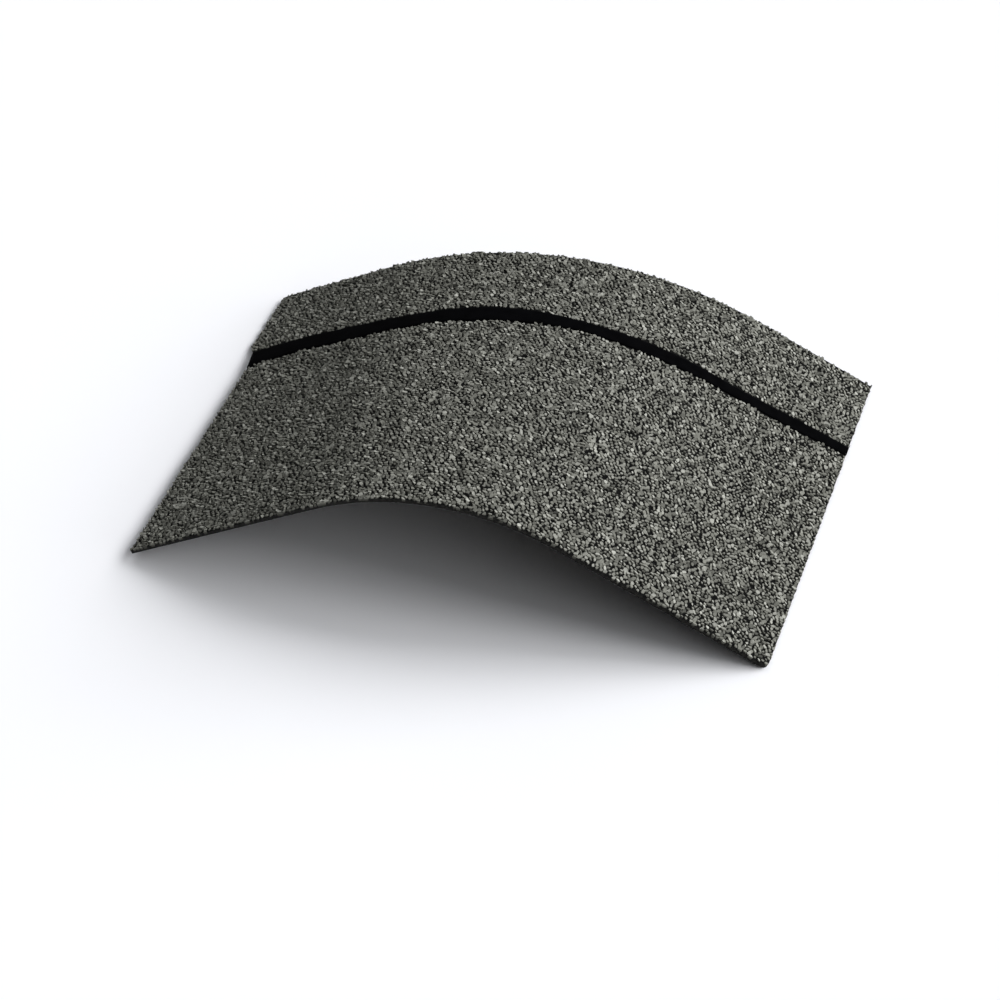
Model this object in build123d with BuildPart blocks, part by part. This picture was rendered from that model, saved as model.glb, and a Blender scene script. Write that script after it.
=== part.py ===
from build123d import *
import os
from math import cos, radians, sin

# Hip and ridge cap shingle: a pre-bent asphalt sheet with a sealant strip across it.
# X runs across the ridge, Y along it with the exposed end at -Y, Z up, all in mm.

# Sheet, measured flat
sheet_width = 305.0
sheet_length = 219.0
sheet_thickness = 1.6

# The exposed part is cut narrower along its left edge, with a slanted step beside the strip
tab_trim = 6.0
step_run = 12.0

# How far the cut's outline runs past the sheet's edges
trim_margin = 10.0

# Bend: flat legs with a rounded crown between them, tighter at the exposed end
leg_slope = 25.4
crown_radius_front = 124.5
crown_radius_back = 213.5

# Worn corners
back_corner_radius = 4.0
front_corner_radius = 3.0

# Sealant strip, wider at its left end
strip_setback = 54.0
strip_width_left = 14.0
strip_width_right = 7.3
strip_thickness = 0.7

slope = radians(leg_slope)
half_width = sheet_width / 2
half_length = sheet_length / 2
tab_length = sheet_length - strip_setback
trim_depth = 2 * (sheet_thickness + strip_thickness)
front_plane = Plane.XZ.offset(half_length)
back_plane = Plane.XZ.offset(-half_length)


def leg_length(radius):
    """Flat run from the crown's end down to the sheet's side edge."""
    return half_width - radius * slope


def crown_center(radius):
    """Height of the crown's centre that rests the underside's outer corners on the floor."""
    return leg_length(radius) * sin(slope) - (radius - sheet_thickness) * cos(slope)


def crown_band(plane, radius, low, high):
    """Closed outline of the crown between two heights above the sheet's top face."""
    center = (0, crown_center(radius))
    with BuildSketch(plane) as band:
        with BuildLine():
            upper = CenterArc(center, radius + high, 90 - leg_slope, 2 * leg_slope)
            lower = CenterArc(center, radius + low, 90 - leg_slope, 2 * leg_slope)
            Line(upper @ 0, lower @ 0)
            Line(upper @ 1, lower @ 1)
        make_face()
    return band.sketch


def leg_normal(side):
    """Direction square to one leg in the XZ plane, upwards; side is -1 on the left, 1 on the right."""
    return Vector(side * sin(slope), 0, cos(slope))


def down_slope(side):
    """Direction down one leg, from the crown to the side edge."""
    return Vector(side * cos(slope), 0, -sin(slope))


def crown_end(side, y, radius, height):
    """Point where the crown meets one leg, at a height above the sheet's top face."""
    return Vector(0, y, crown_center(radius)) + leg_normal(side) * (radius + height)


def side_edge(side, y, radius, height):
    """Point on one leg's outer edge, at a height above the sheet's top face."""
    return crown_end(side, y, radius, height) + down_slope(side) * leg_length(radius)


def leg_plane(side, height):
    """Plane of one leg, from its front outer corner: X along the outer edge, Z square to the leg."""
    corner = side_edge(side, -half_length, crown_radius_front, height)
    edge = side_edge(side, half_length, crown_radius_back, height) - corner
    return Plane(origin=corner, x_dir=edge, z_dir=edge.cross(down_slope(side)) * -side)


def leg_outline(side, height):
    """Four-cornered outline of one leg, at a height above the sheet's top face."""
    plane = leg_plane(side, height)
    corners = [
        crown_end(side, -half_length, crown_radius_front, height),
        crown_end(side, half_length, crown_radius_back, height),
        side_edge(side, half_length, crown_radius_back, height),
        side_edge(side, -half_length, crown_radius_front, height),
    ]
    with BuildSketch(plane) as outline:
        with BuildLine():
            Polyline(*[plane.to_local_coords(corner) for corner in corners], close=True)
        make_face()
    return outline.sketch


def bent_layer(low, high):
    """Layer that follows the bend between two heights above the sheet's top face."""
    front = crown_band(front_plane, crown_radius_front, low, high)
    back = crown_band(back_plane, crown_radius_back, low, high)
    loft([front, back], ruled=True)
    for side in (-1, 1):
        extrude(leg_outline(side, low), amount=high - low, dir=leg_normal(side))


def trim_outline():
    """Border of the left leg that is cut away, with its slanted end across the step."""
    step_front = tab_length - step_run / 2
    step_back = tab_length + step_run / 2
    corners = [
        (-trim_margin, -tab_trim),
        (step_front, -tab_trim),
        (step_back, 0),
        (step_back, trim_margin),
        (-trim_margin, trim_margin),
    ]
    with BuildSketch(leg_plane(-1, 0)) as outline:
        Polygon(*corners, align=None)
    return outline.sketch


# Sheet
with BuildPart() as shingle_sheet:
    bent_layer(-sheet_thickness, 0)
    back_face = shingle_sheet.faces().sort_by(Axis.Y)[-1]
    fillet(back_face.edges().sort_by(Axis.X)[0], back_corner_radius)
    front_face = shingle_sheet.faces().sort_by(Axis.Y)[0]
    fillet(front_face.edges().sort_by(Axis.X)[-1], front_corner_radius)
    extrude(trim_outline(), amount=trim_depth, both=True, mode=Mode.SUBTRACT)
shingle_sheet.part.label = "shingle_sheet"

# Sealant strip, lying on the sheet's top face from edge to edge
strip_back = half_length - strip_setback
strip_corners = [
    (-half_width, strip_back),
    (-half_width, strip_back - strip_width_left),
    (half_width, strip_back - strip_width_right),
    (half_width, strip_back),
]
with BuildPart() as sealant_strip:
    bent_layer(0, strip_thickness)
    with BuildSketch(Plane.XY) as strip_plan:
        Polygon(*strip_corners, align=None)
    extrude(amount=half_width, mode=Mode.INTERSECT)
    extrude(trim_outline(), amount=trim_depth, both=True, mode=Mode.SUBTRACT)
sealant_strip.part.label = "sealant_strip"

os.makedirs("parts", exist_ok=True)
export_step(shingle_sheet.part, "parts/shingle_sheet.step")
export_step(sealant_strip.part, "parts/sealant_strip.step")
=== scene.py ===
"""Looks of a hip and ridge cap shingle: granules, sealant strip, asphalt finish and stage."""

import math

import bpy
import numpy as np
from bpy.props import FloatProperty, FloatVectorProperty, IntProperty, PointerProperty
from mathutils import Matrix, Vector


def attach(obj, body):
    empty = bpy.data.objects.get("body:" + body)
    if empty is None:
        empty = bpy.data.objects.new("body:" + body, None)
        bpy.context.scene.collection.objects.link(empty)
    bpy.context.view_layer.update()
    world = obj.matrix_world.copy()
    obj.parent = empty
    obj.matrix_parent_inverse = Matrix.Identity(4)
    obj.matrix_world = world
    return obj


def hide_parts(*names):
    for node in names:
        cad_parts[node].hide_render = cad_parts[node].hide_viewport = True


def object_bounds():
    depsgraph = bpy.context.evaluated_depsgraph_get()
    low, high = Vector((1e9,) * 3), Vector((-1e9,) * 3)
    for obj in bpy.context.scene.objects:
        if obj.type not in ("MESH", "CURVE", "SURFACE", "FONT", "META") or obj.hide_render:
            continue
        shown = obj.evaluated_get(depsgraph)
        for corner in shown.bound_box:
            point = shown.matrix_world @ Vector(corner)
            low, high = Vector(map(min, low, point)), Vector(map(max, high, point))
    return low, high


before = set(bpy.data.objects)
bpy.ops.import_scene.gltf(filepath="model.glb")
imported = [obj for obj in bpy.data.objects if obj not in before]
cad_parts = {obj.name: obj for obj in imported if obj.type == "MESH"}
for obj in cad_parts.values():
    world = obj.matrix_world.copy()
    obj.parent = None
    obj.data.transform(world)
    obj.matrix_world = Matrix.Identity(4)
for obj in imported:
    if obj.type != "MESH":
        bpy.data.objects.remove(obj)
cad_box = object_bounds()

bl_info = {
    "name": "Cap Shingle Looks",
    "version": (1, 0, 0),
    "blender": (4, 5, 0),
    "location": "View3D > Sidebar > Cap Shingle",
    "description": "Lays granules and a sealant strip on a bent cap shingle and sets its stage",
    "category": "Object",
}

SHEET_NODE = "shingle_sheet"
STRIP_NODE = "sealant_strip"
GRANULE_PANELS = ("granules_left_leg", "granules_left_shoulder", "granules_crown",
                  "granules_right_shoulder", "granules_right_leg")
BAKE_MAP = "OFBake"

# Half the distance, in metres, between the two places whose difference gives a direction on the sheet
NUDGE = 1e-5

# Added to a distance that is divided by, in metres
NO_ZERO = 1e-9

# Spread of the granules: shake and wanted distance as shares of the pitch, the share of the crowding that
# a round of pushing takes away, the rounds, how many neighbours each way push, and the spare rows
PLACE_SHAKE = 0.26
WANTED_GAP = 0.92
PUSH_SHARE = 0.3
PUSH_ROUNDS = 8
PUSH_REACH = 2
SPARE_ROWS = 6

# How far a granule's middle stays off the strip and may lie past the sheet's edge, in granule radii
STRIP_GAP = 0.5
EDGE_REACH = 0.4

# Shape of a granule: its corners, the spread and limits of its size, the shake of a corner's angle, the
# spread of its top's tilt, and the lowest and highest share of each distance and height
GRANULE_CORNERS = 6
SIZE_SPREAD = 0.2
SIZE_LIMITS = (0.6, 1.5)
CORNER_SHAKE = 0.3
TILT_SPREAD = 0.4
CORNER_SHARE = (0.82, 1.16)
STRETCH_SHARE = (0.8, 1.25)
BURIED_SHARE = (0.75, 0.93)
TOP_SHARE = (0.7, 0.93)
HEIGHT_SHARE = (0.75, 1.2)
TOP_HEIGHT_LIMITS = (0.5, 1.7)
MIDDLE_HEIGHT_SHARE = (0.05, 0.35)
RAGGED_SHARE = (0.2, 1)

# Tone of a granule from dark to light, and the share of it that is kept at the buried, middle and top ring:
# the foot is darker, partly asphalt staining its sides and partly painted shade in the crevices between
# granules
TONE_MEAN = 0.5
TONE_SPREAD = 0.17
FOOT_STAIN_AND_SHADE = (0, 0.4, 1)
GRANULE_RINGS = len(FOOT_STAIN_AND_SHADE)

# A granule's square on the bake map, in units of its farthest corner's distance
MAP_CELL = 2.4

# Waves of the strip's rear edge and of its width: share of the wander, turns over the sheet's width and
# start angle
REAR_WAVES = ((1, 2.27, 5.45), (0.54, 3.28, 4.26))
WIDTH_WAVES = ((0.96, 2.06, 1.02), (1, 3.88, 2.19))

# Strip's mesh: stations from left to right, points round the profile and the powers that square it off
STRIP_STATIONS = 320
STRIP_POINTS = 24
BREADTH_POWER = 0.25
LIFT_POWER = 0.5

# Asphalt where it is coated, cut or dusted: noise level and colour at the dark and at the pale end
COATED_STOPS = ((0.45, (0.003, 0.003, 0.003)), (0.8, (0.012, 0.012, 0.011)))
CUT_STOPS = ((0.4, (0.012, 0.012, 0.0115)), (0.75, (0.036, 0.035, 0.032)))
DUSTED_STOPS = ((0.35, (0.02, 0.02, 0.019)), (0.7, (0.13, 0.125, 0.115)))

# Upward share of the direction a face looks in: below the first it is dusted, within the second it is cut
DUSTED_BELOW = -0.7
CUT_WITHIN = 0.5

# Floor's half side in metres and camera sensor's width in millimetres
FLOOR_HALF = 6.0
SENSOR_WIDTH = 36

# Broad sun lamps: name, turn to the right of the front, height angle and apparent width in degrees,
# strength and colour
LAMPS = (
    ("front_right", 53, 27.7, 41, 0.72, (0.985, 0.995, 1.03)),
    ("right", 93, 30.4, 40, 2.3, (0.985, 0.995, 1.03)),
    ("back_right", 131, 29, 40, 2.7, (0.985, 0.995, 1.03)),
    ("back_left", 200, 41.2, 40, 0.72, (0.98, 0.99, 1.035)),
)


class SheetSettings(bpy.types.PropertyGroup):
    """Sizes of the bent sheet, as the CAD part has them."""

    width: FloatProperty(name="Flat width", description="Across the ridge, before bending",
                         default=0.305, unit="LENGTH")
    length: FloatProperty(name="Length", description="Along the ridge", unit="LENGTH",
                          default=cad_box[1][1] - cad_box[0][1])
    thickness: FloatProperty(name="Thickness", description="Asphalt body without the granule tops",
                             default=0.0016, unit="LENGTH")
    slope: FloatProperty(name="Leg slope", description="Each leg's slope below level",
                         default=math.radians(25.4), subtype="ANGLE")
    front_radius: FloatProperty(name="Front crown radius", description="Top face, exposed end",
                                default=0.1245, unit="LENGTH")
    back_radius: FloatProperty(name="Back crown radius", description="Top face, covered end",
                               default=0.2135, unit="LENGTH")
    tab_trim: FloatProperty(name="Tab trim", description="How far the exposed part's left edge is cut back",
                            default=0.006, unit="LENGTH")
    step_run: FloatProperty(name="Step run", description="Length of the slanted step in the left edge",
                            default=0.012, unit="LENGTH")
    back_corner: FloatProperty(name="Back left corner", description="Radius of the worn corner",
                               default=0.004, unit="LENGTH")
    front_corner: FloatProperty(name="Front right corner", description="Radius of the worn corner",
                                default=0.003, unit="LENGTH")


class StripSettings(bpy.types.PropertyGroup):
    """Sizes and finish of the sealant strip."""

    setback: FloatProperty(name="Setback", description="From the back edge to the step beside the strip",
                           default=0.054, unit="LENGTH")
    lead: FloatProperty(name="Lead", description="Mean distance of the rear edge in front of the setback",
                        default=0.00145, unit="LENGTH")
    left_width: FloatProperty(name="Left width", description="Mean width at the left end",
                              default=0.01467, unit="LENGTH")
    right_width: FloatProperty(name="Right width", description="Mean width at the right end",
                               default=0.00553, unit="LENGTH")
    height: FloatProperty(name="Height", description="Height above the sheet", default=0.0007, unit="LENGTH")
    sink: FloatProperty(name="Sink", description="Depth of the strip's foot in the asphalt", default=0.0002,
                        unit="LENGTH")
    rear_wander: FloatProperty(name="Rear wander", description="How far the rear edge strays",
                               default=0.00155, unit="LENGTH")
    width_wander: FloatProperty(name="Width wander", description="How far the width strays",
                                default=0.00074, unit="LENGTH")
    color: FloatVectorProperty(name="Colour", description="Sealant colour", subtype="COLOR",
                               default=(0.0015, 0.0015, 0.0017))


class GranuleSettings(bpy.types.PropertyGroup):
    """Sizes, spread and colours of the mineral granules."""

    pitch: FloatProperty(name="Pitch", description="Mean distance between granules", default=0.0021,
                         unit="LENGTH")
    radius: FloatProperty(name="Radius", description="Mean radius of a granule", default=0.00094,
                          unit="LENGTH")
    stand: FloatProperty(name="Stand", description="Mean height above the asphalt", default=0.00052,
                         unit="LENGTH")
    sink: FloatProperty(name="Sink", description="Depth of a granule's foot in the asphalt", default=0.0008,
                        unit="LENGTH")
    ragged: FloatProperty(name="Ragged", description="How far a granule may stand past the cut edge",
                          default=0.00025, unit="LENGTH")
    seed: IntProperty(name="Seed", description="Seed of the granules' places and shapes", default=7)
    dark: FloatVectorProperty(name="Dark", description="Darkest granules", subtype="COLOR",
                              default=(0.046, 0.046, 0.0395))
    middle: FloatVectorProperty(name="Middle", description="Usual granules", subtype="COLOR",
                                default=(0.188, 0.188, 0.16))
    light: FloatVectorProperty(name="Light", description="Lightest granules", subtype="COLOR",
                               default=(0.37, 0.37, 0.325))


class StageSettings(bpy.types.PropertyGroup):
    """Camera, light and floor."""

    azimuth: FloatProperty(name="Azimuth", description="Camera's turn to the right of the front",
                           default=math.radians(15.95), subtype="ANGLE")
    elevation: FloatProperty(name="Elevation", description="Camera's height angle",
                             default=math.radians(34.485), subtype="ANGLE")
    distance: FloatProperty(name="Distance", description="Camera's distance from the origin",
                            default=1.34156, unit="LENGTH")
    aim: FloatVectorProperty(name="Aim", description="Floor point at the picture's centre",
                             default=(0.0035, -0.0241, 0.0), subtype="TRANSLATION")
    lens: FloatProperty(name="Lens", description="Focal length in mm", default=108.33,
                        subtype="DISTANCE_CAMERA")
    fill: FloatProperty(name="Fill", description="Strength of the even light from all round", default=0.01)
    fill_color: FloatVectorProperty(name="Fill colour", description="Colour of the even light",
                                    subtype="COLOR", default=(0.9, 0.96, 1.1))
    floor_color: FloatVectorProperty(name="Floor colour", description="Colour of the floor", subtype="COLOR",
                                     default=(0.97, 0.97, 0.97))


class CapShingleSettings(bpy.types.PropertyGroup):
    """All settings of the cap shingle."""

    sheet: PointerProperty(type=SheetSettings)
    strip: PointerProperty(type=StripSettings)
    granules: PointerProperty(type=GranuleSettings)
    stage: PointerProperty(type=StageSettings)


def bent_place(sheet, across, along):
    """Point of the sheet's top face at a flat place.

    The crown radius runs evenly from the front's to the back's. A distance across the ridge of up to
    radius times slope goes round the crown's arc, and the rest of it straight down the leg. The arc's
    centre is at the height that rests the underside's outer corners on the floor.
    """
    share = along / sheet.length + 0.5
    radius = sheet.front_radius + (sheet.back_radius - sheet.front_radius) * share
    turn = np.clip(across / radius, -sheet.slope, sheet.slope)
    run = across - turn * radius
    leg = sheet.width / 2 - radius * sheet.slope
    center = leg * math.sin(sheet.slope) - (radius - sheet.thickness) * math.cos(sheet.slope)
    x = radius * np.sin(turn) + run * math.cos(sheet.slope)
    z = center + radius * np.cos(turn) - np.abs(run) * math.sin(sheet.slope)
    return np.stack(np.broadcast_arrays(x, along, z), axis=-1)


def bent_axes(sheet, across, along):
    """Unit directions across the sheet, along it and out of it, from differences of bent_place."""
    side = bent_place(sheet, across + NUDGE, along) - bent_place(sheet, across - NUDGE, along)
    ridge = bent_place(sheet, across, along + NUDGE) - bent_place(sheet, across, along - NUDGE)
    side /= np.linalg.norm(side, axis=-1, keepdims=True)
    ridge /= np.linalg.norm(ridge, axis=-1, keepdims=True)
    return side, ridge, np.cross(side, ridge)


def raised(sheet, across, along, height):
    """Point at a height above the top face at a flat place."""
    outward = bent_axes(sheet, across, along)[2]
    return bent_place(sheet, across, along) + outward * np.asarray(height)[..., None]


def waves(table, share):
    """Sum of cosine waves at a share of the sheet's width."""
    return sum(size * np.cos(2 * math.pi * turns * share + start) for size, turns, start in table)


def strip_edges(sheet, strip, across):
    """Places along the ridge of the strip's front and rear edges.

    The rear edge lies its setback and its lead from the sheet's back edge, and the width tapers evenly
    from left to right. Both have two slow waves added.
    """
    share = across / sheet.width + 0.5
    rear = sheet.length / 2 - strip.setback - strip.lead + strip.rear_wander * waves(REAR_WAVES, share)
    width = strip.left_width + (strip.right_width - strip.left_width) * share
    width = width + strip.width_wander * waves(WIDTH_WAVES, share)
    return rear - width, rear


def corner_cut(radius, distance):
    """How far a rounded corner draws a side edge in, at a distance from the end that it rounds into.

    It is the radius less the height of the corner's circle there, and nothing past the radius.
    """
    beyond = np.clip(radius - distance, 0, radius)
    return radius - np.sqrt(radius**2 - beyond**2)


def left_reach(sheet, strip, along):
    """Flat distance from the ridge line to the left edge.

    It is the half width, less the tab's trim in front of the step and the rounded corner at the back, and
    slants evenly over the step.
    """
    step_middle = sheet.length / 2 - strip.setback
    trimmed = np.clip((step_middle - along) / sheet.step_run + 0.5, 0, 1)
    corner = corner_cut(sheet.back_corner, sheet.length / 2 - along)
    return sheet.width / 2 - sheet.tab_trim * trimmed - corner


def right_reach(sheet, along):
    """Flat distance from the ridge line to the right edge: the half width, less its rounded front corner."""
    return sheet.width / 2 - corner_cut(sheet.front_corner, sheet.length / 2 + along)


def on_sheet(sheet, strip, across, along, inset):
    """True for flat places on the sheet, at least this far inside its outline."""
    inside = np.abs(along) < sheet.length / 2 - inset
    inside &= across > inset - left_reach(sheet, strip, along)
    inside &= across < right_reach(sheet, along) - inset
    return inside


def direction(azimuth, elevation):
    """Unit vector at a turn to the right of the front and a height angle."""
    level = math.cos(elevation)
    return Vector((math.sin(azimuth) * level, -math.cos(azimuth) * level, math.sin(elevation)))


def mesh_piece(name, points, corners, face_sizes, material):
    """Mesh object from point, face corner and face size arrays, riding on the one body."""
    mesh = bpy.data.meshes.new(name)
    mesh.vertices.add(len(points))
    mesh.vertices.foreach_set("co", np.ascontiguousarray(points, dtype=np.float32).ravel())
    mesh.loops.add(len(corners))
    mesh.loops.foreach_set("vertex_index", np.ascontiguousarray(corners, dtype=np.int32))
    mesh.polygons.add(len(face_sizes))
    starts = np.concatenate([[0], np.cumsum(face_sizes)[:-1]])
    mesh.polygons.foreach_set("loop_start", starts.astype(np.int32))
    mesh.update(calc_edges=True)
    if mesh.validate():
        raise RuntimeError(f"{name} came out with faulty faces")
    mesh.materials.append(material)
    piece = bpy.data.objects.new(name, mesh)
    bpy.context.scene.collection.objects.link(piece)
    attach(piece, "root")
    return piece


def new_material(name):
    """New material, with its node tree and its shader."""
    material = bpy.data.materials.new(name)
    material.use_nodes = True
    tree = material.node_tree
    return material, tree, tree.nodes["Principled BSDF"]


def add_node(tree, kind, **settings):
    """New node of a kind, with the given properties set."""
    node = tree.nodes.new(kind)
    for key, value in settings.items():
        setattr(node, key, value)
    return node


def object_noise(tree, scale, detail, roughness=0.5):
    """Noise texture on Object coordinates."""
    place = add_node(tree, "ShaderNodeTexCoord")
    noise = add_node(tree, "ShaderNodeTexNoise")
    noise.inputs["Scale"].default_value = scale
    noise.inputs["Detail"].default_value = detail
    noise.inputs["Roughness"].default_value = roughness
    tree.links.new(place.outputs["Object"], noise.inputs["Vector"])
    return noise


def color_ramp(tree, value, stops):
    """Colour ramp fed by a value, with (position, colour) stops."""
    ramp = add_node(tree, "ShaderNodeValToRGB")
    elements = ramp.color_ramp.elements
    while len(elements) < len(stops):
        elements.new(0.5)
    for element, (position, color) in zip(elements, stops):
        element.position = position
        element.color = (*color, 1)
    tree.links.new(value, ramp.inputs["Fac"])
    return ramp


def mixed_color(tree, share, first, second):
    """Colour that goes from the first to the second as the share goes from 0 to 1."""
    mix = add_node(tree, "ShaderNodeMix", data_type="RGBA")
    for socket, value in (("Factor", share), ("A", first), ("B", second)):
        tree.links.new(value, mix.inputs[socket])
    return mix.outputs["Result"]


def add_bump(tree, shader, height, strength, distance):
    """Bump from a height value."""
    bump = add_node(tree, "ShaderNodeBump")
    bump.inputs["Strength"].default_value = strength
    bump.inputs["Distance"].default_value = distance
    tree.links.new(height, bump.inputs["Height"])
    tree.links.new(bump.outputs["Normal"], shader.inputs["Normal"])


def granule_material(granules):
    """Ceramic-coated crushed stone: each granule's own tone, faintly mottled."""
    material, tree, shader = new_material("granule_stone")
    tone = add_node(tree, "ShaderNodeAttribute", attribute_name="tone")
    mottle = object_noise(tree, scale=1800, detail=3, roughness=0.6)
    mottled = add_node(tree, "ShaderNodeMath", operation="MULTIPLY_ADD")
    mottle_share = 0.3
    mottled.inputs[1].default_value = mottle_share
    tree.links.new(mottle.outputs["Fac"], mottled.inputs[0])
    tree.links.new(tone.outputs["Fac"], mottled.inputs[2])
    # The noise is about a half on the whole, so it moves a tone up by half its share
    darkest = 0.5 * mottle_share
    ramp = color_ramp(tree, mottled.outputs["Value"], (
        (darkest, granules.dark), (darkest + TONE_MEAN, granules.middle), (1.0, granules.light)))
    tree.links.new(ramp.outputs["Color"], shader.inputs["Base Color"])
    worn = add_node(tree, "ShaderNodeMapRange")
    worn.inputs["To Min"].default_value = 0.6
    worn.inputs["To Max"].default_value = 0.9
    tree.links.new(mottle.outputs["Fac"], worn.inputs["Value"])
    tree.links.new(worn.outputs["Result"], shader.inputs["Roughness"])
    shader.inputs["Specular IOR Level"].default_value = 0.03
    add_bump(tree, shader, mottle.outputs["Fac"], strength=0.3, distance=0.0003)
    return material


def asphalt_material():
    """Filled asphalt: near black where coated, paler where cut, dusted with fine mineral on the underside."""
    material, tree, shader = new_material("asphalt_body")
    grit = object_noise(tree, scale=900, detail=6, roughness=0.65)
    coated, dusted, cut = (color_ramp(tree, grit.outputs["Fac"], stops).outputs["Color"]
                           for stops in (COATED_STOPS, DUSTED_STOPS, CUT_STOPS))
    facing = add_node(tree, "ShaderNodeNewGeometry")
    split = add_node(tree, "ShaderNodeSeparateXYZ")
    tree.links.new(facing.outputs["True Normal"], split.inputs["Vector"])
    under = add_node(tree, "ShaderNodeMath", operation="LESS_THAN")
    under.inputs[1].default_value = DUSTED_BELOW
    tree.links.new(split.outputs["Z"], under.inputs[0])
    upright = add_node(tree, "ShaderNodeMath", operation="COMPARE")
    upright.inputs[1].default_value = 0
    upright.inputs[2].default_value = CUT_WITHIN
    tree.links.new(split.outputs["Z"], upright.inputs[0])
    faces = mixed_color(tree, under.outputs["Value"], coated, dusted)
    tree.links.new(mixed_color(tree, upright.outputs["Value"], faces, cut), shader.inputs["Base Color"])
    shader.inputs["Roughness"].default_value = 0.85
    shader.inputs["Specular IOR Level"].default_value = 0.02
    add_bump(tree, shader, grit.outputs["Fac"], strength=0.6, distance=0.0004)
    return material


def sealant_material(strip):
    """Smooth black asphalt, faintly smeared."""
    material, tree, shader = new_material("sealant_asphalt")
    smear = object_noise(tree, scale=160, detail=4)
    pale_share = 1.8
    pale = tuple(pale_share * channel for channel in strip.color)
    ramp = color_ramp(tree, smear.outputs["Fac"], ((0.35, strip.color), (0.75, pale)))
    tree.links.new(ramp.outputs["Color"], shader.inputs["Base Color"])
    shader.inputs["Roughness"].default_value = 0.5
    shader.inputs["Specular IOR Level"].default_value = 0.0005
    add_bump(tree, shader, smear.outputs["Fac"], strength=0.25, distance=0.0006)
    return material


def spread_places(sheet, granules, random):
    """Flat places of the granules: a staggered grid, shaken, then pushed apart where neighbours crowd.

    Rows lie half the root of three pitches apart and every other one is moved by half a pitch. In each
    round a place is pushed away from every neighbour by a share of what their distance lacks.
    """
    row_step = granules.pitch * math.sqrt(3) / 2
    rows = int(sheet.length / row_step) + SPARE_ROWS
    columns = int(sheet.width / granules.pitch) + SPARE_ROWS
    row, column = np.meshgrid(np.arange(rows), np.arange(columns), indexing="ij")
    across = (column - (columns - 1) / 2 + 0.5 * (row % 2) - 0.25) * granules.pitch
    along = (row - (rows - 1) / 2) * row_step
    places = np.stack([across, along], axis=-1)
    places += random.normal(0, PLACE_SHAKE * granules.pitch, places.shape)
    reach = range(-PUSH_REACH, PUSH_REACH + 1)
    for _ in range(PUSH_ROUNDS):
        push = np.zeros_like(places)
        for down in reach:
            for right in reach:
                if down or right:
                    gap = places - np.roll(places, (down, right), axis=(0, 1))
                    distance = np.linalg.norm(gap, axis=-1, keepdims=True) + NO_ZERO
                    crowding = np.clip(WANTED_GAP * granules.pitch - distance, 0, granules.pitch / 2)
                    push += gap / distance * crowding
        places += PUSH_SHARE * push
    return places.reshape(-1, 2)


def granule_shapes(granules, random, count):
    """Local corners of crushed granules, as three uneven rings from the buried one to the top one.

    A corner's angle is its share of a turn, shaken. Its distance is the granule's radius, shaken and
    stretched along one direction. The middle ring is the widest and lies just above the asphalt, the
    buried one and the top one are a little smaller, and the top one lies on a plane that tilts about the
    granule's height.
    """
    shape = (count, GRANULE_CORNERS)
    size = granules.radius * np.clip(random.lognormal(0, SIZE_SPREAD, (count, 1)), *SIZE_LIMITS)
    step = 2 * math.pi / GRANULE_CORNERS
    angle = step * (np.arange(GRANULE_CORNERS) + random.uniform(-CORNER_SHAKE, CORNER_SHAKE, shape))
    distance = size * random.uniform(*CORNER_SHARE, shape)
    stretch = random.uniform(*STRETCH_SHARE, (count, 1))
    long = distance * np.cos(angle) * stretch
    short = distance * np.sin(angle) / stretch
    spin = random.uniform(0, 2 * math.pi, (count, 1))
    wide_x = long * np.cos(spin) - short * np.sin(spin)
    wide_y = long * np.sin(spin) + short * np.cos(spin)
    buried = random.uniform(*BURIED_SHARE, shape)
    top = random.uniform(*TOP_SHARE, shape)
    height = granules.stand * random.uniform(*HEIGHT_SHARE, (count, 1)) * np.sqrt(size / granules.radius)
    tilt_x, tilt_y = random.normal(0, TILT_SPREAD, (2, count, 1))
    top_z = height + top * (tilt_x * wide_x + tilt_y * wide_y)
    top_z = np.clip(top_z, *(share * granules.stand for share in TOP_HEIGHT_LIMITS))
    wide_z = height * random.uniform(*MIDDLE_HEIGHT_SHARE, shape)
    buried_z = np.full(shape, -granules.sink)
    rings = [
        np.stack([wide_x * buried, wide_y * buried, buried_z], axis=-1),
        np.stack([wide_x, wide_y, wide_z], axis=-1),
        np.stack([wide_x * top, wide_y * top, top_z], axis=-1),
    ]
    return np.concatenate(rings, axis=1)


def cut_shapes(settings, across, along, shapes, random):
    """Granule corners with what lies past the sheet's cut edges brought back to them.

    Each granule may stand past an edge by its own part of the ragged distance.
    """
    sheet, strip = settings.sheet, settings.strip
    spare = random.uniform(*RAGGED_SHARE, (len(across), 1)) * settings.granules.ragged
    place_y = np.clip(along[:, None] + shapes[:, :, 1], -sheet.length / 2 - spare, sheet.length / 2 + spare)
    left = -left_reach(sheet, strip, place_y) - spare
    right = right_reach(sheet, place_y) + spare
    place_x = np.clip(across[:, None] + shapes[:, :, 0], left, right)
    return np.stack([place_x - across[:, None], place_y - along[:, None], shapes[:, :, 2]], axis=-1)


def granule_faces(count):
    """Corner and size arrays of the granules' faces: the sides between rings, a bottom and a top each."""
    ring = np.arange(GRANULE_CORNERS)
    after = np.roll(ring, -1)
    band = np.stack([ring, after, after + GRANULE_CORNERS, ring + GRANULE_CORNERS], axis=1).ravel()
    levels = GRANULE_CORNERS * np.arange(GRANULE_RINGS)
    sides = (band + levels[:-1, None]).ravel()
    one = np.concatenate([sides, ring + levels[-1], ring[::-1]])
    sizes = np.concatenate([np.full((GRANULE_RINGS - 1) * GRANULE_CORNERS, 4), [GRANULE_CORNERS] * 2])
    corners = one + GRANULE_RINGS * GRANULE_CORNERS * np.arange(count)[:, None]
    return corners.ravel(), np.tile(sizes, count), one


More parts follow.
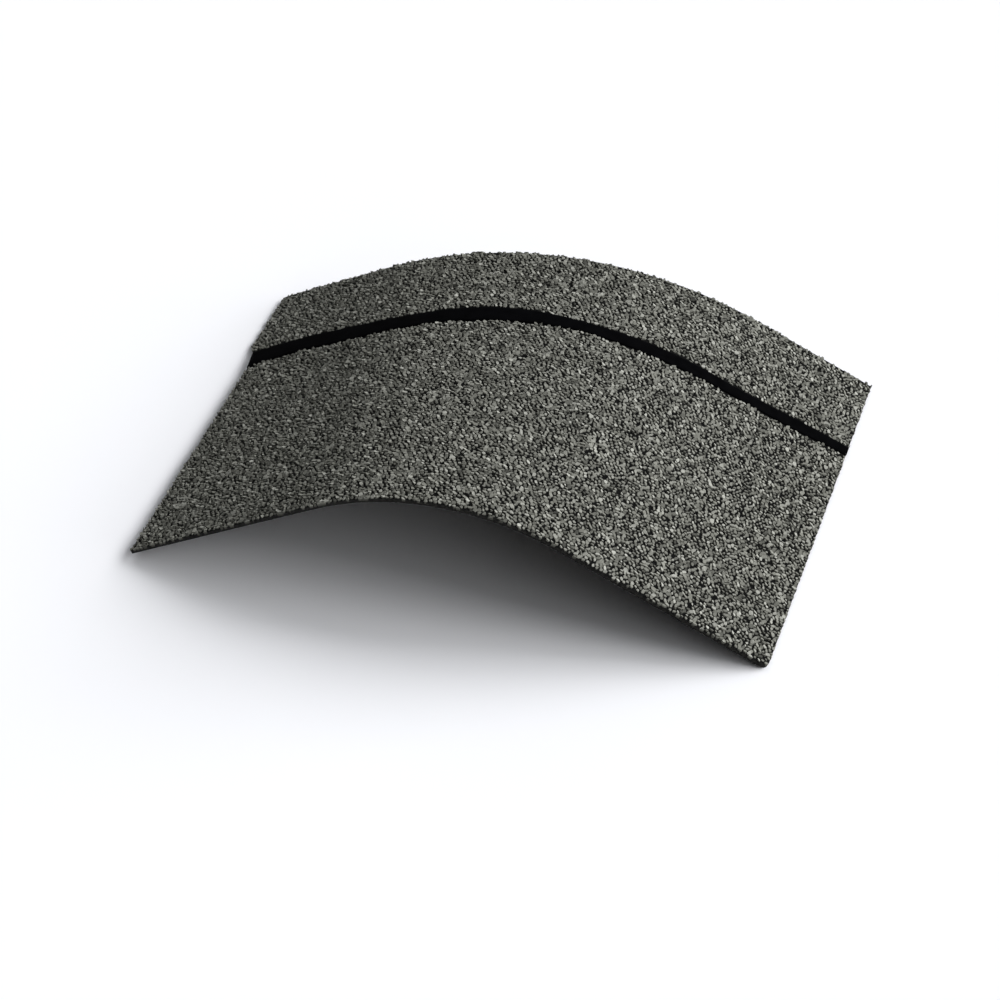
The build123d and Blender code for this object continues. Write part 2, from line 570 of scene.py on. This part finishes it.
def lay_bake_map(mesh, shapes, one):
    """Map with a square of its own for each granule, which holds the granule seen from above.

    The squares fill a square grid row by row. A corner's place in its square is its flat place over the
    square's side, from the square's middle.
    """
    count = len(shapes)
    cells = math.ceil(math.sqrt(count))
    plan = shapes[:, :, :2]
    flat = plan / (MAP_CELL * np.abs(plan).max(axis=(1, 2), keepdims=True)) + 0.5
    index = np.arange(count)
    cell = np.stack([index % cells, index // cells], axis=-1)
    places = (flat + cell[:, None, :]) / cells
    layer = mesh.uv_layers.new(name=BAKE_MAP)
    layer.uv.foreach_set("vector", places[:, one].astype(np.float32).ravel())


class SHINGLE_OT_finish_sheet(bpy.types.Operator):
    """Give the CAD sheet its asphalt and mineral-dusted finish"""

    bl_idname = "cap_shingle.finish_sheet"
    bl_label = "Finish Sheet"

    def execute(self, context):
        slots = bpy.data.objects[SHEET_NODE].material_slots
        material = asphalt_material()
        for slot in slots:
            slot.material = material
        return {"FINISHED"}


class SHINGLE_OT_lay_granules(bpy.types.Operator):
    """Press crushed granules into the sheet's top face, in panels side by side"""

    bl_idname = "cap_shingle.lay_granules"
    bl_label = "Lay Granules"

    def execute(self, context):
        settings = context.scene.cap_shingle
        sheet, strip, granules = settings.sheet, settings.strip, settings.granules
        random = np.random.default_rng(granules.seed)
        across, along = spread_places(sheet, granules, random).T
        front, rear = strip_edges(sheet, strip, across)
        gap = STRIP_GAP * granules.radius
        clear = (along > rear + gap) | (along < front - gap)
        keep = clear & on_sheet(sheet, strip, across, along, -EDGE_REACH * granules.radius)
        across, along = across[keep], along[keep]
        order = np.argsort(across)
        material = granule_material(granules)
        for name, part in zip(GRANULE_PANELS, np.array_split(order, len(GRANULE_PANELS))):
            self.lay_panel(name, settings, across[part], along[part], random, material)
        return {"FINISHED"}

    def lay_panel(self, name, settings, across, along, random, material):
        """One panel of granules, each standing square on the bent sheet and cut off at its edges."""
        shapes = granule_shapes(settings.granules, random, len(across))
        cut = cut_shapes(settings, across, along, shapes, random)
        side, ridge, outward = bent_axes(settings.sheet, across, along)
        points = bent_place(settings.sheet, across, along)[:, None, :]
        for axis, heading in enumerate((side, ridge, outward)):
            points = points + cut[:, :, axis, None] * heading[:, None, :]
        corners, sizes, one = granule_faces(len(across))
        panel = mesh_piece(name, points.reshape(-1, 3), corners, sizes, material)
        panel.data.shade_flat()
        tone = np.clip(random.normal(TONE_MEAN, TONE_SPREAD, (len(across), 1)), 0, 1)
        # Each granule's sides darken towards its foot: partly asphalt stain, partly painted shade in the
        # crevices between granules
        stained_and_shaded = tone * np.repeat(FOOT_STAIN_AND_SHADE, GRANULE_CORNERS)
        attribute = panel.data.attributes.new("tone", "FLOAT", "POINT")
        attribute.data.foreach_set("value", stained_and_shaded.astype(np.float32).ravel())
        lay_bake_map(panel.data, shapes, one)


class SHINGLE_OT_run_strip(bpy.types.Operator):
    """Run the sealant strip across the sheet"""

    bl_idname = "cap_shingle.run_strip"
    bl_label = "Run Strip"

    def execute(self, context):
        settings = context.scene.cap_shingle
        sheet, strip = settings.sheet, settings.strip
        share = np.linspace(0, 1, STRIP_STATIONS)
        across = (share - 0.5) * sheet.width
        angle = np.linspace(0, 2 * math.pi, STRIP_POINTS, endpoint=False)
        # Closed profile: a superellipse, flat on top and rounded at its two long edges
        breadth = np.sign(np.cos(angle)) * np.abs(np.cos(angle)) ** BREADTH_POWER
        lift = np.sign(np.sin(angle)) * np.abs(np.sin(angle)) ** LIFT_POWER
        front, rear = (edge[:, None] for edge in strip_edges(sheet, strip, across))
        along = (rear + front) / 2 + breadth * (rear - front) / 2
        height = np.where(lift > 0, lift * strip.height, lift * strip.sink)
        left = left_reach(sheet, strip, along) + settings.granules.ragged / 2
        right = right_reach(sheet, along) + settings.granules.ragged / 2
        grid_across = share[:, None] * (right + left) - left
        points = raised(sheet, grid_across, along, np.broadcast_to(height, along.shape))
        number = np.arange(STRIP_STATIONS * STRIP_POINTS).reshape(STRIP_STATIONS, STRIP_POINTS)
        after = np.roll(number, -1, axis=1)
        sides = np.stack([number[:-1], number[1:], after[1:], after[:-1]], axis=-1).reshape(-1)
        corners = np.concatenate([sides, number[0], number[-1][::-1]])
        sizes = np.concatenate([np.full((STRIP_STATIONS - 1) * STRIP_POINTS, 4), [STRIP_POINTS] * 2])
        piece = mesh_piece("sealant_bead", points.reshape(-1, 3), corners, sizes,
                           sealant_material(strip))
        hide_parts(STRIP_NODE)
        return {"FINISHED"}


class SHINGLE_OT_set_stage(bpy.types.Operator):
    """Set the pale floor, soft light and camera"""

    bl_idname = "cap_shingle.set_stage"
    bl_label = "Set Stage"

    def execute(self, context):
        stage = context.scene.cap_shingle.stage
        self.lay_floor(stage)
        self.light_world(context.scene, stage)
        for lamp in LAMPS:
            self.hang_lamp(context.scene, *lamp)
        self.place_camera(context.scene, stage)
        context.scene.view_settings.view_transform = "Standard"
        return {"FINISHED"}

    def lay_floor(self, stage):
        """Flat white floor."""
        side = FLOOR_HALF
        mesh = bpy.data.meshes.new("floor")
        corners = [(-side, -side, 0), (side, -side, 0), (side, side, 0), (-side, side, 0)]
        mesh.from_pydata(corners, [], [(0, 1, 2, 3)])
        material, tree, shader = new_material("floor_white")
        shader.inputs["Base Color"].default_value = (*stage.floor_color, 1)
        shader.inputs["Roughness"].default_value = 1.0
        shader.inputs["Specular IOR Level"].default_value = 0.0
        mesh.materials.append(material)
        floor = bpy.data.objects.new("floor", mesh)
        bpy.context.scene.collection.objects.link(floor)

    def light_world(self, scene, stage):
        """Even light from all round, and a white background where it is seen, also in reflections."""
        world = bpy.data.worlds.new("studio")
        world.use_nodes = True
        tree = world.node_tree
        lighting = tree.nodes["Background"]
        lighting.inputs["Color"].default_value = (*stage.fill_color, 1)
        lighting.inputs["Strength"].default_value = stage.fill
        backdrop = add_node(tree, "ShaderNodeBackground")
        backdrop.inputs["Color"].default_value = (1, 1, 1, 1)
        path = add_node(tree, "ShaderNodeLightPath")
        seen = path.outputs["Is Camera Ray"]
        for ray in ("Is Glossy Ray", "Is Transmission Ray"):
            either = add_node(tree, "ShaderNodeMath", operation="MAXIMUM")
            tree.links.new(seen, either.inputs[0])
            tree.links.new(path.outputs[ray], either.inputs[1])
            seen = either.outputs["Value"]
        mix = add_node(tree, "ShaderNodeMixShader")
        tree.links.new(seen, mix.inputs["Fac"])
        tree.links.new(lighting.outputs["Background"], mix.inputs[1])
        tree.links.new(backdrop.outputs["Background"], mix.inputs[2])
        tree.links.new(mix.outputs["Shader"], tree.nodes["World Output"].inputs["Surface"])
        scene.world = world

    def hang_lamp(self, scene, name, azimuth, elevation, spread, strength, color):
        """One broad sun lamp, with its angles in degrees."""
        lamp = bpy.data.lights.new(name, "SUN")
        lamp.energy = strength
        lamp.color = color
        lamp.angle = math.radians(spread)
        light = bpy.data.objects.new(name, lamp)
        toward = direction(math.radians(azimuth), math.radians(elevation))
        light.rotation_euler = toward.to_track_quat("Z", "Y").to_euler()
        scene.collection.objects.link(light)

    def place_camera(self, scene, stage):
        """Camera at the picture's viewing angle."""
        camera = bpy.data.cameras.new("camera")
        camera.lens = stage.lens
        camera.sensor_width = SENSOR_WIDTH
        view = bpy.data.objects.new("camera", camera)
        view.location = direction(stage.azimuth, stage.elevation) * stage.distance
        view.rotation_euler = (Vector(stage.aim) - view.location).to_track_quat("-Z", "Y").to_euler()
        scene.collection.objects.link(view)
        scene.camera = view


class SHINGLE_PT_tools(bpy.types.Panel):
    """Settings and steps that dress the cap shingle"""

    bl_label = "Cap Shingle"
    bl_idname = "SHINGLE_PT_tools"
    bl_space_type = "VIEW_3D"
    bl_region_type = "UI"
    bl_category = "Cap Shingle"

    def draw(self, context):
        settings = context.scene.cap_shingle
        groups = (settings.sheet, settings.granules, settings.strip, settings.stage)
        for group, step in zip(groups, STEPS):
            box = self.layout.box()
            for name in type(group).__annotations__:
                box.prop(group, name)
            box.operator(step.bl_idname)


STEPS = (SHINGLE_OT_finish_sheet, SHINGLE_OT_lay_granules, SHINGLE_OT_run_strip, SHINGLE_OT_set_stage)
CLASSES = (SheetSettings, StripSettings, GranuleSettings, StageSettings, CapShingleSettings, *STEPS,
           SHINGLE_PT_tools)


def register():
    """Register the classes and give the scene its settings."""
    for cls in CLASSES:
        bpy.utils.register_class(cls)
    bpy.types.Scene.cap_shingle = PointerProperty(type=CapShingleSettings)


def unregister():
    """Take the settings and the classes away again."""
    del bpy.types.Scene.cap_shingle
    for cls in reversed(CLASSES):
        bpy.utils.unregister_class(cls)


def main():
    """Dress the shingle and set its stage."""
    register()
    bpy.ops.cap_shingle.finish_sheet()
    bpy.ops.cap_shingle.lay_granules()
    bpy.ops.cap_shingle.run_strip()
    bpy.ops.cap_shingle.set_stage()


if __name__ == "__main__":
    main()
